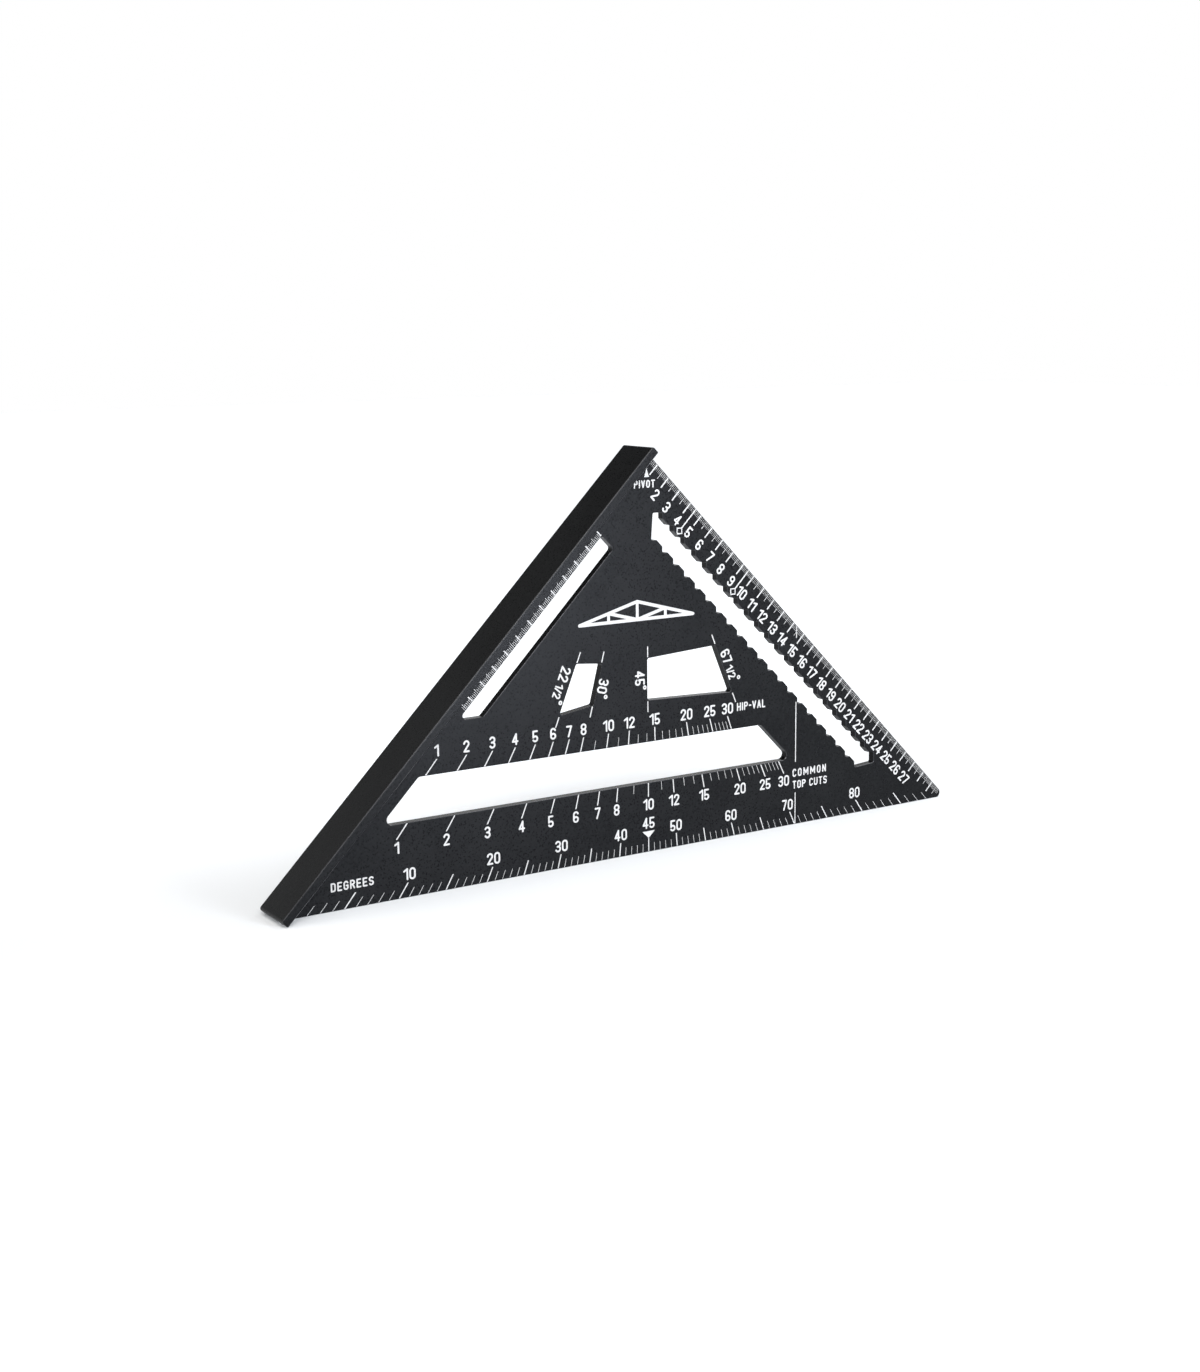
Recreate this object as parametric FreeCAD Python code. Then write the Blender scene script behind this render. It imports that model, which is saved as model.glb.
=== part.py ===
import FreeCAD, Part
import math
import os

# A metric rafter square (speed square): a right-angled aluminium blade whose one leg is let
# into a T-shaped fence.  Everything is laid out flat first, on the bench frame:
#   u  runs along the ruler edge, away from the pivot corner
#   v  runs along the fence, away from the pivot corner
#   w  runs through the blade, from its marked front face (w = 0) to its back (w = BLADE)
# and is then stood up on the long edge:
#   +Z up, X along the long edge towards the ruler end, -Y out of the marked face,
#   origin in the middle of the long edge, midway through the blade.
# All sizes are in millimetres.

# ---- blade and fence -------------------------------------------------------------------
LEG = 304.4             # pivot corner to the tip of either leg
BLADE = 4.5             # blade thickness
TIP_R = 2.75            # rounded tip at the end of the ruler
EDGE_BREAK = 0.25       # small chamfer on the blade's edges
FENCE = 4.65            # fence thickness
FENCE_PROUD = 11.5      # how far the fence stands out of each face of the blade
FENCE_END_R = 1.5       # rounding of the fence's two outer ends
FENCE_EDGE_R = 0.7      # rounding of the fence's long outer edges
FENCE_BREAK = 0.4       # chamfer on the fence's long inner edges
TONGUE = 1.5            # how deep the blade is let into the fence

# ---- notched scribing slot, parallel to the ruler edge ---------------------------------
NOTCH_SLOT_TOP = 18.0   # ruler edge to the slot's near flat
NOTCH_SLOT_WIDTH = 10.5
NOTCH_PITCH = 10.0
NOTCH_FIRST = 30.0      # first near notch; the far notches sit half a pitch further on
NOTCH_DEPTH = 2.4       # depth of the 90 degree notch before its tip is rounded
NOTCH_R = 0.9
NOTCH_END = 4.4         # how far the slot's pointed ends run past the first and last notch
NOTCH_END_LAND = 38.0   # blade left between the last far notch and the long edge, along u

# ---- slot along the fence --------------------------------------------------------------
FENCE_SLOT_IN = 10.0    # fence to slot
FENCE_SLOT_WIDTH = 10.0
FENCE_SLOT_START = 49.5
FENCE_SLOT_R = 1.8
FENCE_SLOT_LAND = 25.9  # blade left between this slot's slanted end and the rafter slot
FENCE_LINE_LAND = 5.0   # no line nearer than this to the slanted end

# ---- rafter slot, parallel to the long edge --------------------------------------------
RAFTER_SLOT_EDGE = 38.47    # long edge to the slot's lower side
RAFTER_SLOT_WIDTH = 22.2
RAFTER_SLOT_FENCE = 12.0    # fence to the slot's left end
RAFTER_SLOT_RULER = 55.6    # ruler edge to the slot's right end
RAFTER_SLOT_R = 2.8

# ---- two windows whose sides lie along rays from the pivot -----------------------------
# Each corner is (angle of its side from the fence, land above the rafter slot): upper near,
# upper far, lower far, lower near.  The far sides stand just outside their marked rays.
SMALL_WINDOW = ((22.5, 47.1), (30.3, 45.6), (30.3, 24.2), (22.5, 21.0))
LARGE_WINDOW = ((45.0, 45.4), (67.7, 48.1), (67.7, 21.1), (45.0, 22.9))
SMALL_RAYS = (22.5, 30.0)   # the dashes beside each window
LARGE_RAYS = (45.0, 67.7)
WINDOW_R = 1.2

# ---- white markings --------------------------------------------------------------------
INK = 0.06              # thickness of the white layer on the front face
INK_GAP = 0.1           # between a marking and the edge break beside it
HAIR = 0.15             # width of the ruler's millimetre lines
FINE = 0.22             # single degrees, plain rafter lines and the fence slot's millimetres
HALF = 0.27             # 5 mm lines
MEDIUM = 0.58           # fifth degrees, numbered rafter lines, plumb line and dashes
BOLD = 0.75             # centimetre lines
TIP_LAND = 3.0          # no line nearer than this to a tip of the blade

FIGURE = 6.2            # height of the figures
FIGURE_STROKE = 0.95
SMALL_FIGURE = 5.0      # height of the fraction's figures
LETTER = 4.6            # height of the scales' names
LETTER_STROKE = 0.78
PIVOT_LETTER = 4.1
LETTER_GAP = 0.62       # clear space between two characters

RULER_DEPTHS = (3.2, 5.5, 7.3)      # 1, 5 and 10 mm lines
RULER_FIGURE_TOP = 9.1
STUD_MARKS = (45.0, 95.0)           # half stud widths, marked with a diamond
STUD_LINE = 13.4
DIAMOND = 2.1                       # half diagonal, to the middle of the line
FENCE_SLOT_DEPTHS = (3.0, 4.3, 6.0)
DEGREE_DEPTHS = (4.8, 7.7)          # single degrees, and every fifth
DEGREE_FIGURE_GAP = 1.3
DEGREE_NAME_IN = 18.1               # fence to the start of the scale's name, level
CENTRE_MARK = (8.0, 3.8)            # width and height of the 45 degree arrow
CENTRE_FIGURE_GAP = 1.4
PITCH_DEPTHS = (5.0, 7.8)           # plain and numbered lines of the two rafter scales
PITCH_FIGURE_GAP = 1.2
PITCH_FIGURES = (1, 2, 3, 4, 5, 6, 7, 8, 10, 12, 15, 20, 25, 30)
PITCH_LINES = 30
HIP_NAME_GAP = 6.5                  # last numbered line to the start of the scale's name
PLUMB_LAND = 2.46                   # rafter slot's lower right corner to the plumb line
PLUMB_CLEAR = 1.4                   # between the plumb line and a figure left of it
PLUMB_FIRST = 7.3
PLUMB_BREAK = (36.3, 18.5)          # the gap for the scale's name, up from the long edge
COMMON_NAME_BACK = 2.0              # the name starts this far left of the plumb line
COMMON_NAME_FOOT = 1.8              # top of the scale's figures to the foot of the upper name
NAME_LEADING = 6.9                  # upper name's foot to the lower name's foot
DASH = 5.8                          # ray dashes before and after each window
DASH_GAP = 0.7
PIVOT_ARROW = (8.5, 4.8, 3.0)       # pivot to tip, length and width
PIVOT_NAME_GAP = 1.5
PIVOT_NAME_SIDE = -8.0              # 45 degree ray to the start of the pivot's name
NAME_LENGTHS = {"PIVOT": 13.2, "HIP-VAL": 19.6, "COMMON": 24.3, "TOP CUTS": 25.1, "DEGREES": 23.2}
# Angles written along the rays: angle, figures, fraction, pivot to their start, and ray to
# their foot, which is negative on the ray's near side.
RAY_NAMES = (
    (22.5, "22", "1/2", 119.6, -8.15),
    (30.0, "30", "", 120.4, 0.75),
    (45.0, "45", "", 115.4, -8.15),
    (67.5, "67", "1/2", 120.8, 1.35),
)
FRACTION_SPACE = 1.6                # figures to their fraction
FRACTION_GAP = 0.25                 # between the fraction's characters
EMBLEM_PLACE = 83.8                 # pivot to the middle of the roof emblem, down and across
EMBLEM_SIDE = -7.3
EMBLEM = (72.0, 9.6)                # its width and height
EMBLEM_STROKE = 1.7

ROOT2 = math.sqrt(2.0)
DROP = LEG / ROOT2                  # pivot corner to the long edge
RAFTER_SLOT_LOW = DROP - RAFTER_SLOT_EDGE
RAFTER_SLOT_TOP = RAFTER_SLOT_LOW - RAFTER_SLOT_WIDTH
PLUMB_OFFSET = RAFTER_SLOT_LOW - ROOT2 * RAFTER_SLOT_RULER + PLUMB_LAND  # right of the 45 degree ray
INSET = EDGE_BREAK + INK_GAP        # edge of the blade to the start of a marking


# ---- points and outlines on the bench frame --------------------------------------------
def vec(u, v, w=0.0):
    return FreeCAD.Vector(u, v, w)


def on_drop(side, down):
    """Point given by its distance right of the 45 degree ray and down that ray."""
    return vec((side + down) / ROOT2, (down - side) / ROOT2)


def on_ray(angle, down):
    """Point where the ray at an angle from the fence has come this far down."""
    return on_drop(down * math.tan(math.radians(angle - 45.0)), down)


def outline(corners):
    """Closed wire through (point, radius) corners, each rounded by its radius."""
    count = len(corners)
    ends = []
    for i in range(count):
        point, radius = corners[i]
        before = (corners[i - 1][0] - point).normalize()
        after = (corners[(i + 1) % count][0] - point).normalize()
        half = before.getAngle(after) / 2.0
        reach = radius / math.tan(half)
        middle = (before + after).normalize()
        crown = point + middle * (radius / math.sin(half) - radius)
        ends.append((point + before * reach, crown, point + after * reach))
    edges = []
    for i in range(count):
        start, crown, stop = ends[i]
        if corners[i][1] > 0.0:
            edges.append(Part.Arc(start, crown, stop).toShape())
        following = ends[(i + 1) % count][0]
        edges.append(Part.LineSegment(stop, following).toShape())
    return Part.Wire(edges)


def plate(wire, start, thickness):
    """Solid from a closed wire, moved to w = start and carried through a thickness."""
    solid = Part.Face(wire).extrude(vec(0, 0, thickness))
    solid.translate(vec(0, 0, start))
    return solid


# ---- openings in the blade -------------------------------------------------------------
def notch_places():
    """The u of each near notch and each far notch."""
    far_tip = NOTCH_SLOT_TOP + NOTCH_SLOT_WIDTH + NOTCH_DEPTH
    room = LEG - far_tip - NOTCH_END_LAND - NOTCH_FIRST - NOTCH_PITCH / 2.0
    far_count = int(room / NOTCH_PITCH) + 1
    near = [NOTCH_FIRST + NOTCH_PITCH * i for i in range(far_count + 1)]
    far = [u + NOTCH_PITCH / 2.0 for u in near[:-1]]
    return near, far


def notched_slot():
    near, far = notch_places()
    top = NOTCH_SLOT_TOP
    low = NOTCH_SLOT_TOP + NOTCH_SLOT_WIDTH
    tip_v = top - NOTCH_DEPTH + NOTCH_END
    corners = [(vec(near[0] - NOTCH_END, tip_v), NOTCH_R)]
    for u in near:
        if u > near[0]:
            corners.append((vec(u - NOTCH_DEPTH, top), NOTCH_R))
        corners.append((vec(u, top - NOTCH_DEPTH), NOTCH_R))
        if u < near[-1]:
            corners.append((vec(u + NOTCH_DEPTH, top), NOTCH_R))
    corners.append((vec(near[-1] + NOTCH_END, tip_v), NOTCH_R))
    for u in reversed(far):
        if u < far[-1]:
            corners.append((vec(u + NOTCH_DEPTH, low), NOTCH_R))
        corners.append((vec(u, low + NOTCH_DEPTH), NOTCH_R))
        if u > far[0]:
            corners.append((vec(u - NOTCH_DEPTH, low), NOTCH_R))
    return outline(corners)


def fence_slot_end():
    """u + v along the slanted end of the slot beside the fence."""
    return (RAFTER_SLOT_TOP - FENCE_SLOT_LAND) * ROOT2


def fence_slot():
    near = FENCE_SLOT_IN
    far = FENCE_SLOT_IN + FENCE_SLOT_WIDTH
    corners = [
        vec(near, FENCE_SLOT_START),
        vec(far, FENCE_SLOT_START),
        vec(far, fence_slot_end() - far),
        vec(near, fence_slot_end() - near),
    ]
    return outline([(corner, FENCE_SLOT_R) for corner in corners])


def rafter_slot():
    top = RAFTER_SLOT_TOP * ROOT2
    low = RAFTER_SLOT_LOW * ROOT2
    left = RAFTER_SLOT_FENCE
    right = RAFTER_SLOT_RULER
    corners = [
        vec(left, top - left),
        vec(top - right, right),
        vec(low - right, right),
        vec(left, low - left),
    ]
    return outline([(corner, RAFTER_SLOT_R) for corner in corners])


def window(sides):
    corners = [on_ray(angle, RAFTER_SLOT_TOP - land) for angle, land in sides]
    return outline([(corner, WINDOW_R) for corner in corners])


# ---- the two structural pieces ---------------------------------------------------------
def broken_edges(solid):
    """The blade's edges that get the small chamfer: all on its faces, but not the tongue's."""
    chosen = []
    for edge in solid.Edges:
        box = edge.BoundBox
        on_face = box.ZLength < 1e-6
        in_fence = box.XMax < -1e-6 or box.XMax < 1e-6 and box.YMin > LEG - 1e-6
        if on_face and not in_fence:
            chosen.append(edge)
    return chosen


def blade():
    rim = outline([
        (vec(-TONGUE, 0), 0.0),
        (vec(LEG, 0), TIP_R),
        (vec(0, LEG), 0.0),
        (vec(-TONGUE, LEG), 0.0),
    ])
    solid = plate(rim, 0.0, BLADE)
    openings = [notched_slot(), fence_slot(), rafter_slot(), window(SMALL_WINDOW), window(LARGE_WINDOW)]
    for wire in openings:
        solid = solid.cut(plate(wire, -1.0, BLADE + 2.0))
    return solid.makeChamfer(EDGE_BREAK, broken_edges(solid))


def fence():
    height = BLADE + 2.0 * FENCE_PROUD
    bar = Part.makeBox(FENCE, LEG, height, vec(-FENCE, 0, -FENCE_PROUD))
    ends = [e for e in bar.Edges if e.BoundBox.XMax < -FENCE + 1e-6 and e.BoundBox.ZLength > 1.0]
    bar = bar.makeFillet(FENCE_END_R, ends)
    outer = []
    for edge in bar.Edges:
        box = edge.BoundBox
        level = box.ZLength < 1e-6
        if level and box.XMax < -1e-6 and box.XMin < -FENCE + FENCE_END_R - 1e-6:
            outer.append(edge)
    bar = bar.makeFillet(FENCE_EDGE_R, outer)
    inner = [e for e in bar.Edges if e.BoundBox.XMin > -1e-6 and e.BoundBox.YLength > 1.0]
    bar = bar.makeChamfer(FENCE_BREAK, inner)
    groove = Part.makeBox(TONGUE, LEG, BLADE, vec(-TONGUE, 0, 0))
    return bar.cut(groove)


# ---- lines -----------------------------------------------------------------------------
def patch(points):
    """White layer over a straight-sided area of the front face."""
    face = Part.Face(Part.makePolygon(points + points[:1]))
    return face.extrude(vec(0, 0, -INK))


def stroke(start, stop, width):
    """Straight white line with square ends."""
    along = (stop - start).normalize()
    aside = vec(-along.y, along.x) * (width / 2.0)
    return patch([start - aside, stop - aside, stop + aside, start + aside])


def ray_line(angle, start, stop, width):
    """White line on a ray from the pivot, between two drops, its ends parallel to the long edge."""
    lean = math.radians(angle - 45.0)
    aside = width / 2.0 / math.cos(lean)
    points = []
    for down, sign in ((start, -1), (stop, -1), (stop, 1), (start, 1)):
        points.append(on_drop(down * math.tan(lean) + sign * aside, down))
    return patch(points)


def line_class(number):
    """0 for a millimetre line, 1 for a fifth one, 2 for a tenth one."""
    if number % 10 == 0:
        return 2
    if number % 5 == 0:
        return 1
    return 0


RULER_WIDTHS = (HAIR, HALF, BOLD)
FENCE_SLOT_WIDTHS = (FINE, HALF, BOLD)


def ruler_lines(kind):
    depth = RULER_DEPTHS[kind]
    last = int(LEG - depth - TIP_LAND)
    places = [n for n in range(1, last + 1) if line_class(n) == kind and n not in STUD_MARKS]
    return [stroke(vec(n, INSET), vec(n, depth), RULER_WIDTHS[kind]) for n in places]


def fence_slot_lines(kind):
    first = math.ceil(FENCE_SLOT_START)
    last = int(fence_slot_end() - FENCE_SLOT_IN - FENCE_LINE_LAND)
    near = FENCE_SLOT_IN - INSET
    far = FENCE_SLOT_IN - FENCE_SLOT_DEPTHS[kind]
    places = [n for n in range(first, last + 1) if line_class(n) == kind]
    return [stroke(vec(far, n), vec(near, n), FENCE_SLOT_WIDTHS[kind]) for n in places]


def degree_lines():
    lines = []
    for degree in range(2, 89):
        long = degree % 5 == 0
        depth = DEGREE_DEPTHS[1] if long else DEGREE_DEPTHS[0]
        width = MEDIUM if long else FINE
        lines.append(ray_line(degree, DROP - INSET, DROP - depth, width))
    return lines


def common_angle(rise):
    """Ray of a common rafter that rises this much in 10."""
    return math.degrees(math.atan(rise / 10.0))


def hip_angle(rise):
    """Ray of a hip or valley rafter, whose run is the diagonal of 10."""
    return math.degrees(math.atan(rise / (10.0 * ROOT2)))


def pitch_lines(angle_of, edge, way):
    """Lines of a rafter scale, from one side of the rafter slot; way is +1 down or -1 up."""
    lines = []
    for rise in range(1, PITCH_LINES + 1):
        numbered = rise in PITCH_FIGURES
        depth = PITCH_DEPTHS[1] if numbered else PITCH_DEPTHS[0]
        width = MEDIUM if numbered else FINE
        lines.append(ray_line(angle_of(rise), edge + way * INSET, edge + way * depth, width))
    return lines


# ---- characters ------------------------------------------------------------------------
# Each character is a set of strokes on a grid whose unit is the radius of its round parts:
# two units wide and four high.  A line is (x, y, x, y); an arc is (centre x, centre y,
# radius, first angle, last angle), anticlockwise.
LEAN = math.degrees(math.atan(0.75))
BOWL = (1, 1, 1, 0, 360)
STEM = (0, 0, 0, 4)
ROUND_SIDES = [(0, 1, 0, 3), (2, 1, 2, 3)]
CHARACTERS = {
    "0": ROUND_SIDES + [(1, 3, 1, 0, 180), (1, 1, 1, 180, 360)],
    "1": [(1.5, 0, 1.5, 4), (1.5, 4, 0.15, 3.2)],
    "2": [(1, 3, 1, -LEAN, 175), (0, 0, 1.8, 2.4), (0, 0, 2, 0)],
    "3": [(1, 3, 1, -90, 155), (1, 1, 1, -155, 90), (0.75, 2, 1, 2)],
    "4": [(1.5, 0, 1.5, 4), (1.5, 4, 0, 1.1), (0, 1.1, 2.15, 1.1)],
    "5": [(0.15, 4, 1.85, 4), (0.15, 1.6, 0.15, 4), (1, 1, 1, -150, 145)],
    "6": [(0, 1, 0, 3), (1, 3, 1, 20, 180), BOWL],
    "7": [(0, 4, 2, 4), (2, 4, 0.7, 0)],
    "8": [BOWL, (1, 3, 1, 0, 360)],
    "9": [(2, 1, 2, 3), (1, 1, 1, 200, 360), (1, 3, 1, 0, 360)],
    "/": [(0, 0, 1.25, 4)],
    "-": [(0.1, 2, 1, 2)],
    "A": [(0, 0, 1, 4), (1, 4, 2, 0), (0.35, 1.3, 1.65, 1.3)],
    "C": [(0, 1, 0, 3), (1, 3, 1, 20, 180), (1, 1, 1, 180, 340)],
    "D": [STEM, (0, 4, 1, 4), (0, 0, 1, 0), (1, 3, 1, 0, 90), (1, 1, 1, 270, 360), (2, 1, 2, 3)],
    "E": [STEM, (0, 4, 1.85, 4), (0, 2, 1.6, 2), (0, 0, 1.85, 0)],
    "G": [(0, 1, 0, 3), (1, 3, 1, 20, 180), (1, 1, 1, 180, 360), (2, 1, 2, 1.9), (2, 1.9, 1.2, 1.9)],
    "H": [STEM, (2, 0, 2, 4), (0, 2, 2, 2)],
    "I": [STEM],
    "L": [STEM, (0, 0, 1.6, 0)],
    "M": [STEM, (0, 4, 1.5, 1.0), (1.5, 1.0, 3, 4), (3, 0, 3, 4)],
    "N": [STEM, (0, 4, 2, 0), (2, 0, 2, 4)],
    "O": ROUND_SIDES + [(1, 3, 1, 0, 180), (1, 1, 1, 180, 360)],
    "P": [STEM, (0, 4, 1, 4), (0, 2, 1, 2), (1, 3, 1, -90, 90)],
    "R": [STEM, (0, 4, 1, 4), (0, 2, 1, 2), (1, 3, 1, -90, 90), (1, 2, 2, 0)],
    "S": [(1, 3, 1, 25, 270), (1, 1, 1, -155, 90)],
    "T": [(0, 4, 2, 4), (1, 0, 1, 4)],
    "U": [(0, 1, 0, 4), (2, 1, 2, 4), (1, 1, 1, 180, 360)],
    "V": [(0, 4, 1, 0), (1, 0, 2, 4)],
}
RING = [(0.56, 4.29, 0.56, 0, 360)]     # degree sign
SPACE = 1.2


def arc_point(centre, radius, angle):
    turn = math.radians(angle)
    return centre + vec(math.cos(turn), math.sin(turn)) * radius


def line_face(x0, y0, x1, y1, half):
    """Round-ended line as a face."""
    start = vec(x0, y0)
    stop = vec(x1, y1)
    along = (stop - start).normalize() * half
    aside = vec(-along.y, along.x)
    edges = [
        Part.LineSegment(start - aside, stop - aside).toShape(),
        Part.Arc(stop - aside, stop + along, stop + aside).toShape(),
        Part.LineSegment(stop + aside, start + aside).toShape(),
        Part.Arc(start + aside, start - along, start - aside).toShape(),
    ]
    return Part.Face(Part.Wire(edges))


def arc_face(x, y, radius, first, last, half):
    """Round-ended arc as a face, or a ring when it goes all the way round."""
    centre = vec(x, y)
    if last - first >= 360:
        rings = [Part.Wire(Part.makeCircle(radius + side, centre)) for side in (half, -half)]
        return Part.Face(rings[0]).cut(Part.Face(rings[1]))
    middle = (first + last) / 2.0
    inner = [arc_point(centre, radius - half, a) for a in (first, middle, last)]
    outer = [arc_point(centre, radius + half, a) for a in (first, middle, last)]
    first_cap = arc_point(centre, radius, first) - arc_point(vec(0, 0), half, first + 90)
    last_cap = arc_point(centre, radius, last) + arc_point(vec(0, 0), half, last + 90)
    edges = [
        Part.Arc(outer[0], outer[1], outer[2]).toShape(),
        Part.Arc(outer[2], last_cap, inner[2]).toShape(),
        Part.Arc(inner[2], inner[1], inner[0]).toShape(),
        Part.Arc(inner[0], first_cap, outer[0]).toShape(),
    ]
    return Part.Face(Part.Wire(edges))


def drawn(strokes, unit, width):
    """One solid from a set of strokes, lower left corner of its ink at the origin."""
    half = width / 2.0
    faces = []
    for item in strokes:
        sizes = [value * unit for value in item]
        if len(item) == 4:
            faces.append(line_face(*sizes, half))
        else:
            faces.append(arc_face(*sizes[:3], *item[3:], half))
    solids = [face.extrude(vec(0, 0, INK)) for face in faces]
    shape = solids[0]
    if len(solids) > 1:
        shape = solids[0].multiFuse(solids[1:]).removeSplitter()
    shape.translate(vec(half, half))
    return shape


ALONG_RULER = vec(1, 0)
ALONG_EDGE = vec(1, -1).normalize()     # level, once the square stands on its long edge
made = {}


def character(name, height, width):
    """A character and how wide it is; each is drawn once and then copied."""
    key = (name, height, width)
    if key not in made:
        unit = (height - width) / 4.0
        strokes = RING if name == "ring" else CHARACTERS[name]
        shape = drawn(strokes, unit, width)
        box = shape.BoundBox
        shape.translate(vec(-box.XMin, 0))
        made[key] = (shape, box.XLength)
    return made[key]


def text_width(text, height, width, gap=LETTER_GAP):
    total = 0.0
    for name in text:
        total += SPACE if name == " " else character(name, height, width)[1]
    return total + gap * (len(text) - 1)


def stand(shape, place, along):
    """Copy of a flat shape laid on the front face with its baseline along a direction."""
    up = vec(along.y, -along.x)
    out = along.cross(up)
    matrix = FreeCAD.Matrix(
        along.x, up.x, out.x, place.x,
        along.y, up.y, out.y, place.y,
        along.z, up.z, out.z, place.z,
        0, 0, 0, 1,
    )
    copy = shape.copy()
    copy.Placement = FreeCAD.Placement(matrix).multiply(copy.Placement)
    return copy


def words(text, place, along, height, width, align=0.0, gap=LETTER_GAP):
    """Row of characters; place is on the baseline, align 0 at its start or 0.5 at its middle."""
    cursor = -align * text_width(text, height, width, gap)
    row = []
    for name in text:
        if name == " ":
            cursor += SPACE + gap
            continue
        shape, step = character(name, height, width)
        row.append(stand(shape, place + along * cursor, along))
        cursor += step + gap
    return row


def scale_name(text, side, down, height=LETTER):
    """Level name from a start right of the 45 degree ray, spaced to fill its given length."""
    spare = NAME_LENGTHS[text] - text_width(text, height, LETTER_STROKE, 0.0)
    gap = spare / (len(text) - 1)
    return words(text, on_drop(side, down), ALONG_EDGE, height, LETTER_STROKE, 0.0, gap)


def level_figures(number, side, base):
    """Figures centred right of the 45 degree ray, their foot this far down it."""
    return words(str(number), on_drop(side, base), ALONG_EDGE, FIGURE, FIGURE_STROKE, 0.5)


def ruler_figures():
    base = RULER_FIGURE_TOP + FIGURE
    figures = []
    number = 2
    while True:
        half = text_width(str(number), FIGURE, FIGURE_STROKE) / 2.0
        if 10.0 * number + half + base > LEG - DEGREE_DEPTHS[1] * ROOT2:
            return figures
        place = vec(10.0 * number, base)
        figures += words(str(number), place, ALONG_RULER, FIGURE, FIGURE_STROKE, 0.5)
        number += 1


def stud_marks():
    """Line and open diamond at each half stud width."""
    marks = []
    for u in STUD_MARKS:
        centre = vec(u, STUD_LINE + DIAMOND)
        reach = DIAMOND + MEDIUM / ROOT2
        hole = DIAMOND - MEDIUM / ROOT2
        rim = [centre + vec(x, y) * reach for x, y in ((0, -1), (1, 0), (0, 1), (-1, 0))]
        inside = [centre + vec(x, y) * hole for x, y in ((0, -1), (1, 0), (0, 1), (-1, 0))]
        diamond = patch(rim).cut(patch(inside))
        line = stroke(vec(u, INSET), vec(u, STUD_LINE), BOLD)
        marks.append(line.fuse(diamond).removeSplitter())
    return marks


def degree_figures():
    figures = []
    foot = DROP - DEGREE_DEPTHS[1] - DEGREE_FIGURE_GAP
    for degree in range(10, 90, 10):
        side = foot * math.tan(math.radians(degree - 45.0))
        half = text_width(str(degree), FIGURE, FIGURE_STROKE) / 2.0
        if side < PLUMB_OFFSET:
            side = min(side, PLUMB_OFFSET - MEDIUM / 2.0 - PLUMB_CLEAR - half)
        figures += level_figures(degree, side, foot)
    return figures


def centre_mark():
    """The 45 degree figures and the arrow below them."""
    width, height = CENTRE_MARK
    tip = DROP - DEGREE_DEPTHS[1] - INK_GAP
    arrow = patch([on_drop(0, tip), on_drop(width / 2, tip - height), on_drop(-width / 2, tip - height)])
    return [arrow] + level_figures(45, 0.0, tip - height - CENTRE_FIGURE_GAP)


def hip_figures():
    figures = []
    end = RAFTER_SLOT_TOP - PITCH_DEPTHS[1]
    for rise in PITCH_FIGURES:
        side = end * math.tan(math.radians(hip_angle(rise) - 45.0))
        figures += level_figures(rise, side, end - PITCH_FIGURE_GAP)
    return figures


def common_figures():
    figures = []
    end = RAFTER_SLOT_LOW + PITCH_DEPTHS[1]
    for rise in PITCH_FIGURES:
        side = end * math.tan(math.radians(common_angle(rise) - 45.0))
        figures += level_figures(rise, side, end + PITCH_FIGURE_GAP + FIGURE)
    return figures


def plumb_line():
    """Line square to the long edge, broken by the notched slot and the scale's name."""
    slot_low = NOTCH_SLOT_TOP + NOTCH_SLOT_WIDTH + NOTCH_DEPTH
    start = PLUMB_OFFSET + INSET * ROOT2
    stretches = (
        (start, PLUMB_OFFSET + PLUMB_FIRST),
        (PLUMB_OFFSET + slot_low * ROOT2, DROP - PLUMB_BREAK[0]),
        (DROP - PLUMB_BREAK[1], DROP - INSET),
    )
    return [
        stroke(on_drop(PLUMB_OFFSET, first), on_drop(PLUMB_OFFSET, last), MEDIUM)
        for first, last in stretches
    ]


def window_dashes():
    """A dash on each side's ray, before and after its window."""
    dashes = []
    for window_corners, rays in ((SMALL_WINDOW, SMALL_RAYS), (LARGE_WINDOW, LARGE_RAYS)):
        lands = [land for _, land in window_corners]
        for angle, high, low in ((rays[0], lands[0], lands[3]), (rays[1], lands[1], lands[2])):
            slope = 1.0 / math.cos(math.radians(angle - 45.0))
            ray = ray_direction(angle)
            before = (RAFTER_SLOT_TOP - high) * slope - DASH_GAP
            after = (RAFTER_SLOT_TOP - low) * slope + DASH_GAP
            dashes.append(stroke(ray * (before - DASH), ray * before, MEDIUM))
            dashes.append(stroke(ray * after, ray * (after + DASH), MEDIUM))
    return dashes


def ray_direction(angle):
    return vec(math.sin(math.radians(angle)), math.cos(math.radians(angle)))


def ray_words(angle, figures, fraction, start, rise):
    """Angle written along its ray, with its fraction and degree sign."""
    ray = ray_direction(angle)
    up = vec(ray.y, -ray.x)
    row = words(figures, ray * start + up * rise, ray, FIGURE, FIGURE_STROKE)
    cursor = start + text_width(figures, FIGURE, FIGURE_STROKE)
    if fraction:
        foot = ray * (cursor + FRACTION_SPACE) + up * rise
        row += words(fraction, foot, ray, SMALL_FIGURE, LETTER_STROKE, 0.0, FRACTION_GAP)
        cursor += FRACTION_SPACE + text_width(fraction, SMALL_FIGURE, LETTER_STROKE, FRACTION_GAP)
    ring = character("ring", FIGURE, LETTER_STROKE)[0]
    row.append(stand(ring, ray * (cursor + FRACTION_GAP) + up * rise, ray))
    return row


def window_figures():
    figures = []
    for name in RAY_NAMES:
        figures += ray_words(*name)
    return figures


def pivot_arrow():
    start, length, width = PIVOT_ARROW
    base = start + length
    return [patch([on_drop(0, start), on_drop(width / 2, base), on_drop(-width / 2, base)])]


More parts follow.
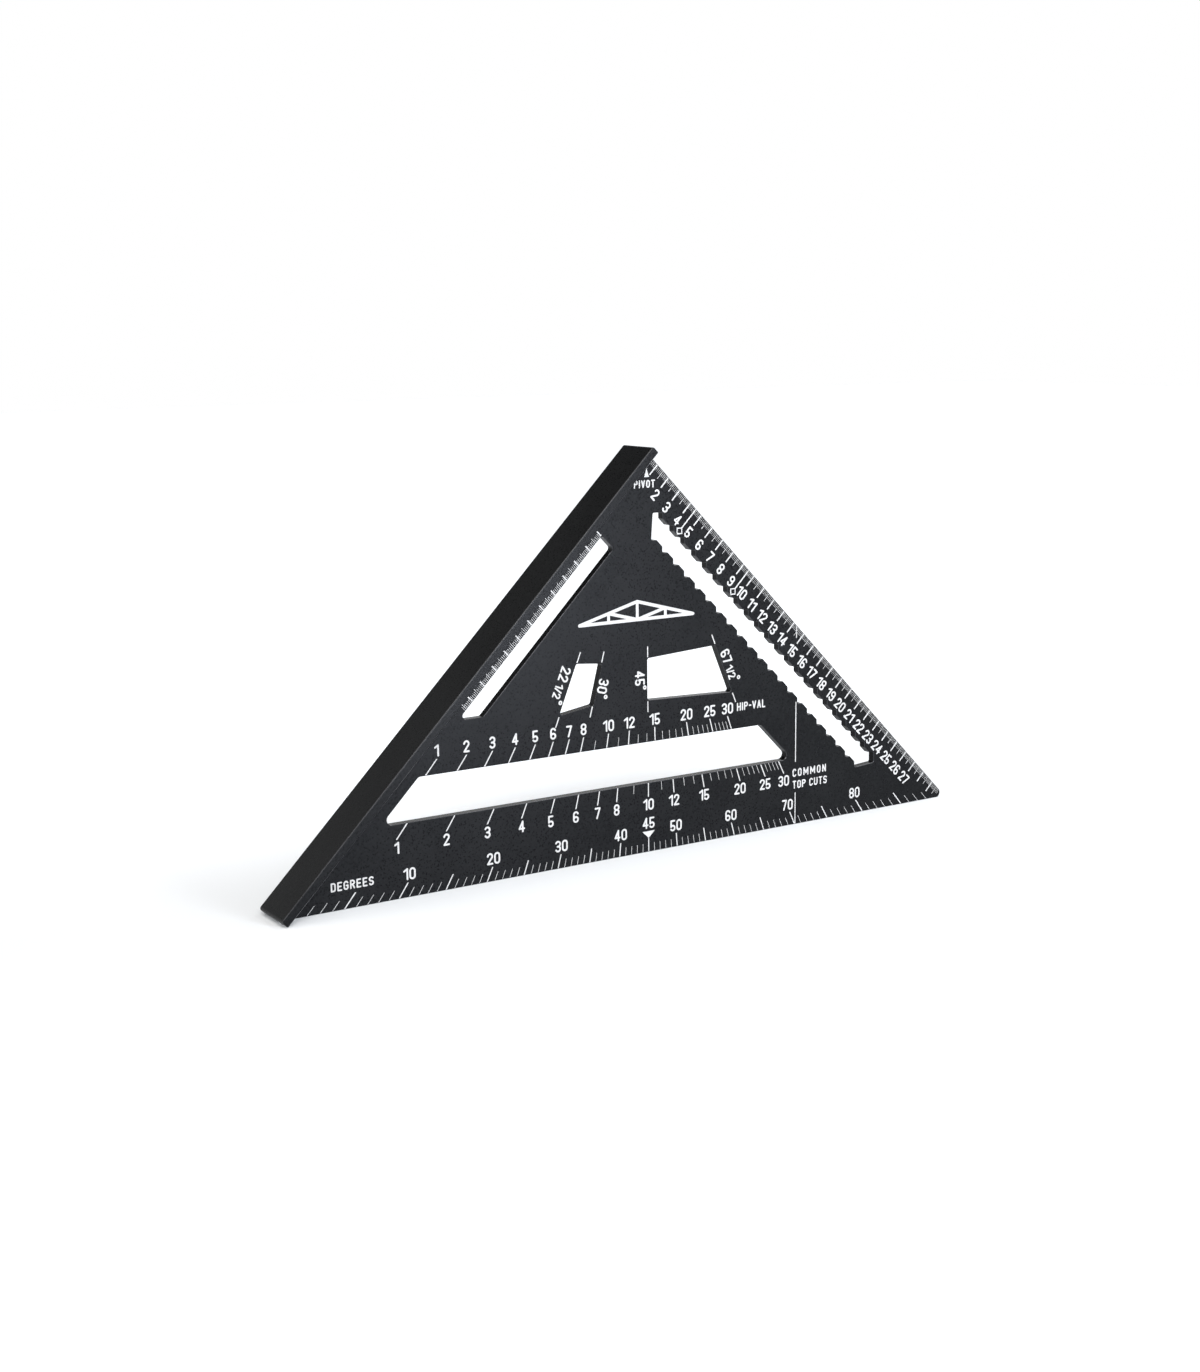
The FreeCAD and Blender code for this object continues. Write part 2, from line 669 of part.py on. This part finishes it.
def scale_names():
    start, length, _ = PIVOT_ARROW
    pivot_foot = start + length + PIVOT_NAME_GAP + PIVOT_LETTER
    lift = (FIGURE - LETTER) / 2.0      # the names stand level with the middle of the figures
    hip_end = RAFTER_SLOT_TOP - PITCH_DEPTHS[1]
    hip_side = hip_end * math.tan(math.radians(hip_angle(PITCH_FIGURES[-1]) - 45.0))
    common_side = PLUMB_OFFSET - COMMON_NAME_BACK
    common_foot = RAFTER_SLOT_LOW + PITCH_DEPTHS[1] + PITCH_FIGURE_GAP + COMMON_NAME_FOOT
    degree_foot = DROP - DEGREE_DEPTHS[1] - DEGREE_FIGURE_GAP - lift
    return (
        scale_name("PIVOT", PIVOT_NAME_SIDE, pivot_foot, PIVOT_LETTER)
        + scale_name("HIP-VAL", hip_side + HIP_NAME_GAP, hip_end - PITCH_FIGURE_GAP - lift)
        + scale_name("COMMON", common_side, common_foot)
        + scale_name("TOP CUTS", common_side, common_foot + NAME_LEADING)
        + scale_name("DEGREES", DEGREE_NAME_IN - degree_foot, degree_foot)
    )


def roof_emblem():
    """Roof truss in outline: two rafters, tie, king post and struts."""
    width, height = EMBLEM
    half = width / 2.0
    truss = [
        (0, 0, width, 0),
        (0, 0, half, height),
        (half, height, width, 0),
        (half, 0, half, height),
        (half, 0, half / 2, height / 2),
        (half, 0, width - half / 2, height / 2),
        (half / 2, 0, half / 2, height / 2),
        (width - half / 2, 0, width - half / 2, height / 2),
    ]
    shape = drawn(truss, 1.0, EMBLEM_STROKE)
    return [stand(shape, on_drop(EMBLEM_SIDE - half, EMBLEM_PLACE + height / 2), ALONG_EDGE)]


# ---- stand the square on its long edge and write the pieces ----------------------------
def upright(shape):
    level = 1.0 / ROOT2
    matrix = FreeCAD.Matrix(
        level, -level, 0, 0,
        0, 0, 1, -BLADE / 2.0,
        -level, -level, 0, DROP,
        0, 0, 0, 1,
    )
    copy = shape.copy()
    copy.Placement = FreeCAD.Placement(matrix).multiply(copy.Placement)
    return copy


PIECES = {
    "blade": [blade()],
    "fence": [fence()],
    "ruler_millimetre_lines": ruler_lines(0),
    "ruler_half_centimetre_lines": ruler_lines(1),
    "ruler_centimetre_lines": ruler_lines(2),
    "ruler_figures": ruler_figures(),
    "stud_width_marks": stud_marks(),
    "fence_slot_millimetre_lines": fence_slot_lines(0),
    "fence_slot_half_centimetre_lines": fence_slot_lines(1),
    "fence_slot_centimetre_lines": fence_slot_lines(2),
    "degree_lines": degree_lines(),
    "degree_figures": degree_figures(),
    "centre_mark": centre_mark(),
    "hip_valley_lines": pitch_lines(hip_angle, RAFTER_SLOT_TOP, -1),
    "hip_valley_figures": hip_figures(),
    "common_rafter_lines": pitch_lines(common_angle, RAFTER_SLOT_LOW, 1),
    "common_rafter_figures": common_figures(),
    "plumb_line": plumb_line(),
    "window_ray_dashes": window_dashes(),
    "window_angle_figures": window_figures(),
    "pivot_arrow": pivot_arrow(),
    "scale_names": scale_names(),
    "roof_emblem": roof_emblem(),
}

os.makedirs("parts", exist_ok=True)
for name, solids in PIECES.items():
    piece = upright(Part.makeCompound(solids) if len(solids) > 1 else solids[0])
    piece.exportStep("parts/" + name + ".step")
    print(name, len(piece.Solids), "solids,", round(piece.Volume, 2), "mm3, valid:", piece.isValid())
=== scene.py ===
# %% [markdown]
# # A black rafter square, stood on its long edge
#
# The real tool is a flat triangular plate of aluminium with a T-shaped fence along one leg.  It is
# anodised black, and its scales are printed in white.  The shapes come ready made from the packed
# CAD model, so this lesson is about everything that Blender adds: the view, the metal's finish, the
# white print and the studio.  Everything is in metres: +X runs along the long edge towards the
# ruler's tip, +Z is up, and -Y comes out of the marked face.

# %% Load the model
import math

import bpy
from mathutils import Matrix, Vector


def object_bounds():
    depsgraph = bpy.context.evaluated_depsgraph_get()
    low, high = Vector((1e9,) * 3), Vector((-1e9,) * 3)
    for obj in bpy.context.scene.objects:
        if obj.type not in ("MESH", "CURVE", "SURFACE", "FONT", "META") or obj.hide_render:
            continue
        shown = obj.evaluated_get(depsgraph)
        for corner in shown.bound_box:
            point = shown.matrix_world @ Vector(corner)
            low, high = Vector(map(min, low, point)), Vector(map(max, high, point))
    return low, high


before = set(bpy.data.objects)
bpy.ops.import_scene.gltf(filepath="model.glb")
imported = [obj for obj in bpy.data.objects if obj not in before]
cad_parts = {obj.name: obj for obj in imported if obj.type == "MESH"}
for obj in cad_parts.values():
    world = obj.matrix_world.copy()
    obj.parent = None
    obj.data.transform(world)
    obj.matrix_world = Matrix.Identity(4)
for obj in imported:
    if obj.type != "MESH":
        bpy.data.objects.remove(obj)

CAD_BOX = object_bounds()
LOW, HIGH = CAD_BOX
print("pieces:", len(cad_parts))
print("size in mm:", [round(1000 * side, 1) for side in HIGH - LOW])

# %% [markdown]
# ## Three small helpers
#
# Colours are chosen as hex values, the way a paint chart or a browser gives them.  Those are sRGB
# numbers, and Blender's shaders work in linear light, so one function turns one into the other.
# A second adds a node to a material with its settings and its links in one call, which keeps each
# finish short enough to read.  A third gives a noise texture its scale from a real size.

# %% Colour and node helpers
MM = 0.001


def colour(hex_code):
    """Linear RGBA of an sRGB hex colour."""
    channels = [int(hex_code[i : i + 2], 16) / 255 for i in (1, 3, 5)]
    linear = [c / 12.92 if c <= 0.04045 else ((c + 0.055) / 1.055) ** 2.4 for c in channels]
    return (*linear, 1.0)


def add(material, kind, settings=None, **links):
    """Add a node: settings are its properties or socket values, links feed its sockets by name."""
    node = material.node_tree.nodes.new(kind)
    for name, value in (settings or {}).items():
        if name in node.inputs:
            node.inputs[name].default_value = value
        else:
            setattr(node, name, value)
    for name, socket in links.items():
        material.node_tree.links.new(socket, node.inputs[name.replace("_", " ")])
    return node


def per_metre(size_mm):
    """Texture scale that makes one pattern cell this many millimetres across."""
    return 1.0 / (size_mm * MM)


print("mid grey #808080 in linear light:", round(colour("#808080")[0], 3))

# %% [markdown]
# ## The camera
#
# This is a three-quarter view: the camera stands about a metre away, to the left of the square and
# a little above it, so the broad outer face of the fence shows.  A look-at helper would
# do, but the camera also leans over by about half a degree.  Building its three axes from a
# direction and a roll keeps that in plain numbers.

# %% Camera
LENS_MM = 49.64
SENSOR_MM = 36.0
AIM = Vector((-30.2, -2.25, 94.6)) * MM
DISTANCE = 988.8 * MM
AZIMUTH = math.radians(-32.79)      # from straight in front, towards the fence side
ELEVATION = math.radians(10.77)
ROLL = math.radians(0.62)
CLIP_NEAR = 0.05
CLIP_FAR = 30.0


def view_axes(azimuth, elevation, roll):
    """Right, up and forward axes of a camera that looks at the square."""
    level = math.cos(elevation)
    forward = Vector((-math.sin(azimuth) * level, math.cos(azimuth) * level, -math.sin(elevation)))
    right = forward.cross(Vector((0, 0, 1))).normalized()
    up = right.cross(forward)
    lean = Matrix.Rotation(roll, 3, forward)
    return lean @ right, lean @ up, forward


right, up, forward = view_axes(AZIMUTH, ELEVATION, ROLL)
camera_data = bpy.data.cameras.new("camera")
camera_data.lens = LENS_MM
camera_data.sensor_width = SENSOR_MM
camera_data.clip_start = CLIP_NEAR
camera_data.clip_end = CLIP_FAR
camera = bpy.data.objects.new("camera", camera_data)
bpy.context.scene.collection.objects.link(camera)
camera.matrix_world = (
    Matrix.Translation(AIM - forward * DISTANCE)
    @ Matrix((right, up, -forward)).transposed().to_4x4()
)
bpy.context.scene.camera = camera
print("camera at", [round(c, 4) for c in camera.matrix_world.translation])
print("right", [round(c, 4) for c in right], "up", [round(c, 4) for c in up])

# %% [markdown]
# ## Black anodised aluminium
#
# The plate and the fence are aluminium.  They were blasted with fine grit and then anodised black:
# a porous oxide layer soaks up black dye and is sealed.  To the eye that is a very dark, slightly
# blue grey with a satin sheen, a fine speckle from the blasting and faint cloudy patches where the
# dye took unevenly.  A fully metallic shader would mirror the white studio far too strongly, since
# most of the light that comes back has been through the dyed oxide.  So the dark dye is a plain
# diffuse base, and the sheen comes from its rough specular layer.
#
# The blade's openings were milled through it, so their walls are smoother than the blasted faces,
# and every edge has been rubbed a little brighter.  The shader tells them apart by the Y part of
# their normal: it is 1 on a face, 0 on a wall and in between on a chamfered or rounded edge.

# %% Material: black anodised aluminium
GRIT_MM = 0.9               # the real speckle is about 0.2 mm, drawn coarser so that it shows
CLOUD_MM = 38.0             # uneven patches in the dye
SHEEN = 0.13                # the sealed oxide's clear surface reflects less than plain plastic
BLASTED = 0.35              # roughness of the faces
MILLED = 0.2                # roughness of the openings' walls
EDGE_SHEEN = 0.9            # reflection of the rubbed edges
UNEVEN = 0.12               # how far the speckle moves the roughness either way
GRIT_LOW = 0.3              # most of the speckle's values lie between these two
GRIT_HIGH = 0.7
PIT_MM = 0.035              # depth of the blasting
DYE_SPREAD = 0.25           # speckle and clouds add up to about 1, give or take this
WALL_UNTIL = 0.6            # Y part of the normal: below this the surface is a wall
FACE_FROM = 0.9             # and above this it is a face
FOLD = 0.5                  # folds that Y part, so that walls and faces both come out as 0
EDGE_FROM = 0.05            # folded value where an edge's brighter sheen begins
EDGE_FULL = 0.29            # and where it is complete
OXIDE_IOR = 1.45
DYE_DARK = "#08090A"
DYE_LIGHT = "#101112"
OXIDE_TINT = "#E4E7F0"


def anodised(name, wall_roughness):
    material = bpy.data.materials.new(name)
    material.use_nodes = True
    material.node_tree.nodes.clear()
    place = add(material, "ShaderNodeTexCoord").outputs["Object"]
    clouds = add(
        material, "ShaderNodeTexNoise", {"Scale": per_metre(CLOUD_MM), "Detail": 3.0},
        Vector=place,
    )
    speckle = add(
        material, "ShaderNodeTexNoise", {"Scale": per_metre(GRIT_MM), "Detail": 2.0},
        Vector=place,
    )
    grit = speckle.outputs["Fac"]
    mixed = add(material, "ShaderNodeMath", {"operation": "ADD"})
    material.node_tree.links.new(clouds.outputs["Fac"], mixed.inputs[0])
    material.node_tree.links.new(grit, mixed.inputs[1])
    tone = add(
        material, "ShaderNodeMapRange",
        {"From Min": 1.0 - DYE_SPREAD, "From Max": 1.0 + DYE_SPREAD},
        Value=mixed.outputs["Value"],
    )
    dye = add(material, "ShaderNodeValToRGB", None, Fac=tone.outputs["Result"])
    dye.color_ramp.elements[0].color = colour(DYE_DARK)
    dye.color_ramp.elements[1].color = colour(DYE_LIGHT)
    surface = add(material, "ShaderNodeNewGeometry")
    normal = add(material, "ShaderNodeSeparateXYZ", None, Vector=surface.outputs["Normal"])
    facing = add(material, "ShaderNodeMath", {"operation": "ABSOLUTE"})
    material.node_tree.links.new(normal.outputs["Y"], facing.inputs[0])
    finish = add(
        material, "ShaderNodeMapRange",
        {"From Min": WALL_UNTIL, "From Max": FACE_FROM,
         "To Min": wall_roughness, "To Max": BLASTED},
        Value=facing.outputs["Value"],
    )
    edge = add(material, "ShaderNodeMath", {"operation": "PINGPONG"})
    edge.inputs[1].default_value = FOLD
    material.node_tree.links.new(facing.outputs["Value"], edge.inputs[0])
    sheen = add(
        material, "ShaderNodeMapRange",
        {"From Min": EDGE_FROM, "From Max": EDGE_FULL, "To Min": SHEEN, "To Max": EDGE_SHEEN},
        Value=edge.outputs["Value"],
    )
    wobble = add(
        material, "ShaderNodeMapRange",
        {"From Min": GRIT_LOW, "From Max": GRIT_HIGH, "To Min": -UNEVEN, "To Max": UNEVEN},
        Value=grit,
    )
    roughness = add(material, "ShaderNodeMath", {"operation": "ADD"})
    material.node_tree.links.new(finish.outputs["Result"], roughness.inputs[0])
    material.node_tree.links.new(wobble.outputs["Result"], roughness.inputs[1])
    bump = add(material, "ShaderNodeBump", {"Strength": 1.0, "Distance": PIT_MM * MM}, Height=grit)
    shader = add(
        material, "ShaderNodeBsdfPrincipled",
        {"IOR": OXIDE_IOR, "Specular Tint": colour(OXIDE_TINT)},
        Base_Color=dye.outputs["Color"], Roughness=roughness.outputs["Value"],
        Specular_IOR_Level=sheen.outputs["Result"], Normal=bump.outputs["Normal"],
    )
    add(material, "ShaderNodeOutputMaterial", None, Surface=shader.outputs["BSDF"])
    return material


blade_finish = anodised("anodised_aluminium_blade", MILLED)
fence_finish = anodised("anodised_aluminium_fence", BLASTED)
print("finishes:", blade_finish.name, fence_finish.name)

# %% [markdown]
# ## White print
#
# The lines, figures and names are a thin coat of matt white enamel, screen printed on the black
# plate.  It is not quite even: the coat is thinner in places and lets a little of the black
# through.  A pale base colour with a fine noise does that.

# %% Material: white enamel print
PRINT_GRAIN_MM = 0.7
THIN_UNTIL = 0.3            # noise value up to which the coat is at its thinnest
FULL_FROM = 0.5             # and from which it covers fully
ENAMEL_ROUGHNESS = 0.6
ENAMEL_IOR = 1.5


def white_print(name, thin, full):
    material = bpy.data.materials.new(name)
    material.use_nodes = True
    material.node_tree.nodes.clear()
    place = add(material, "ShaderNodeTexCoord").outputs["Object"]
    coat = add(
        material, "ShaderNodeTexNoise", {"Scale": per_metre(PRINT_GRAIN_MM), "Detail": 2.0},
        Vector=place,
    )
    tone = add(material, "ShaderNodeValToRGB", None, Fac=coat.outputs["Fac"])
    tone.color_ramp.elements[0].position = THIN_UNTIL
    tone.color_ramp.elements[0].color = colour(thin)
    tone.color_ramp.elements[1].position = FULL_FROM
    tone.color_ramp.elements[1].color = colour(full)
    shader = add(
        material, "ShaderNodeBsdfPrincipled",
        {"Roughness": ENAMEL_ROUGHNESS, "IOR": ENAMEL_IOR},
        Base_Color=tone.outputs["Color"],
    )
    add(material, "ShaderNodeOutputMaterial", None, Surface=shader.outputs["BSDF"])
    return material


print_finish = white_print("white_enamel_print", "#999999", "#A6A7A8")
print("print:", print_finish.name)

# %% [markdown]
# ## Giving each piece its finish
#
# The CAD pieces come in with one plain material each.  Swapping what is in that slot changes the
# finish and leaves the shape alone.

# %% Assign the finishes
def finish_piece(node, material):
    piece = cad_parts[node]
    piece.data.materials.clear()
    piece.data.materials.append(material)


METAL = {"blade": blade_finish, "fence": fence_finish}
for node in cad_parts:
    finish_piece(node, METAL.get(node, print_finish))
print("white pieces:", len(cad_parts) - len(METAL))

# %% [markdown]
# ## The floor
#
# The square stands on a sheet of white paper that runs back into the distance.  Close to it the
# paper is lit by the lamps, and it also glows a little of itself: painted light that keeps its
# shadows pale.  Behind the square this painted glow grows, so that the square's shadow there is
# washed out and the paper stays white up to the wall.

# %% Floor
FLOOR_SIDE = 12.0
FLOOR_GAP = 0.02 * MM       # keeps the sheet just clear of the long edge
GLOW_FROM = 0.02            # metres behind the square, where the glow starts to grow
GLOW_FULL = 0.3             # and where it is complete
# painted light: how strongly the paper glows of itself, near the square and far behind it
PAINTED_GLOW_NEAR = 0.2
PAINTED_GLOW_FAR = 0.75
PAPER_WHITE = "#D0D3D6"
PAINTED_PAPER_LIGHT = "#F6FAFF"
PAPER_ROUGHNESS = 0.9


def paper(name):
    material = bpy.data.materials.new(name)
    material.use_nodes = True
    material.node_tree.nodes.clear()
    place = add(material, "ShaderNodeTexCoord").outputs["Object"]
    behind = add(material, "ShaderNodeSeparateXYZ", None, Vector=place)
    # painted light: the paper glows though it is no lamp, more behind the square, to wash out its
    # shadows
    glow = add(
        material, "ShaderNodeMapRange",
        {"interpolation_type": "SMOOTHSTEP", "From Min": GLOW_FROM, "From Max": GLOW_FULL,
         "To Min": PAINTED_GLOW_NEAR, "To Max": PAINTED_GLOW_FAR},
        Value=behind.outputs["Y"],
    )
    shader = add(
        material, "ShaderNodeBsdfPrincipled",
        {"Base Color": colour(PAPER_WHITE), "Roughness": PAPER_ROUGHNESS,
         "Emission Color": colour(PAINTED_PAPER_LIGHT)},
        Emission_Strength=glow.outputs["Result"],
    )
    add(material, "ShaderNodeOutputMaterial", None, Surface=shader.outputs["BSDF"])
    return material


def floor(side):
    mesh = bpy.data.meshes.new("floor")
    half = side / 2
    corners = [(-half, -half, 0), (half, -half, 0), (half, half, 0), (-half, half, 0)]
    mesh.from_pydata(corners, [], [(0, 1, 2, 3)])
    sheet = bpy.data.objects.new("floor", mesh)
    sheet.location.z = LOW.z - FLOOR_GAP
    bpy.context.scene.collection.objects.link(sheet)
    mesh.materials.append(paper("white_paper_floor_painted_light"))
    return sheet


print("floor side in metres:", floor(FLOOR_SIDE).dimensions.x)

# %% [markdown]
# ## The lamps
#
# Four lamps do the work.  A broad warm bank overhead, a little to the fence's side, lights the
# floor, the print and the fence's outer face.  The blade's face is nearly black, so what shows on
# it is only the sheen, and the sheen needs something to reflect: a small cool box in front, near
# enough that its reflection fades from the pivot corner down to the ruler's tip.  A key box in
# front and above draws the thin bright line along the fence's rounded edge.  The last, on the
# right, catches the chamfers of the slots' lower walls.

# %% Lamps
BANK_DISTANCE = 2.0         # only places the lamp: its light is the same at any distance


def aim_lamp(name, kind, azimuth, elevation, distance, tint):
    """Lamp of a kind that faces the square from a direction."""
    data = bpy.data.lights.new(name, kind)
    data.color = colour(tint)[:3]
    lamp = bpy.data.objects.new(name, data)
    bpy.context.scene.collection.objects.link(lamp)
    forward = view_axes(math.radians(azimuth), math.radians(elevation), 0.0)[2]
    lamp.location = AIM - forward * distance
    lamp.rotation_mode = "QUATERNION"
    lamp.rotation_quaternion = forward.to_track_quat("-Z", "Y")
    lamp.visible_camera = False
    return data


def soft_box(name, azimuth, elevation, distance, side, watts, tint):
    """Square diffused panel, side metres across."""
    data = aim_lamp(name, "AREA", azimuth, elevation, distance, tint)
    data.shape = "SQUARE"
    data.size = side
    data.energy = watts


def overhead_bank(name, azimuth, elevation, spread, strength, tint):
    """Even light from a bank of diffused lamps overhead, the same at any distance."""
    data = aim_lamp(name, "SUN", azimuth, elevation, BANK_DISTANCE, tint)
    data.angle = math.radians(spread)
    data.energy = strength


overhead_bank(
    "overhead_bank", azimuth=-95, elevation=68, spread=50, strength=1.0, tint="#FFF8F0",
)
soft_box(
    "key_softbox", azimuth=-24, elevation=40, distance=1.6, side=0.9, watts=20, tint="#FFFDFA",
)
soft_box(
    "front_softbox", azimuth=14, elevation=4.5, distance=0.95, side=0.3, watts=12.5, tint="#F8FAFF",
)
soft_box(
    "side_softbox", azimuth=76, elevation=50, distance=1.6, side=0.9, watts=10, tint="#FFFFFF",
)

# %% [markdown]
# ## The surround
#
# The walls are white up to a little above the square and then fade into a dark ceiling.  The low
# white band is what makes the slots' lower walls so bright, since it is reflected in them at a
# shallow angle.  The dark part above is what keeps the fence's outer face black.

# %% Surround
WALL_TOP = math.sin(math.radians(12))       # the white wall is even up to here
CEILING = math.sin(math.radians(33))        # and has faded to the dark ceiling by here
WALL_LIGHT = 1.0
CEILING_LIGHT = 0.05

world = bpy.data.worlds.new("studio_surround")
bpy.context.scene.world = world
world.use_nodes = True
direction = add(world, "ShaderNodeTexCoord").outputs["Generated"]
height = add(world, "ShaderNodeSeparateXYZ", None, Vector=direction)
fade = add(
    world, "ShaderNodeMapRange",
    {"interpolation_type": "SMOOTHSTEP", "From Min": WALL_TOP, "From Max": CEILING,
     "To Min": WALL_LIGHT, "To Max": CEILING_LIGHT},
    Value=height.outputs["Z"],
)
surround = world.node_tree.nodes["Background"]
surround.inputs["Color"].default_value = colour("#FFFFFF")
world.node_tree.links.new(fade.outputs["Result"], surround.inputs["Strength"])

# "Standard" shows colours as they were chosen, with no film-like curve on top.
bpy.context.scene.view_settings.view_transform = "Standard"
print("surround:", world.name, "view:", bpy.context.scene.view_settings.view_transform)
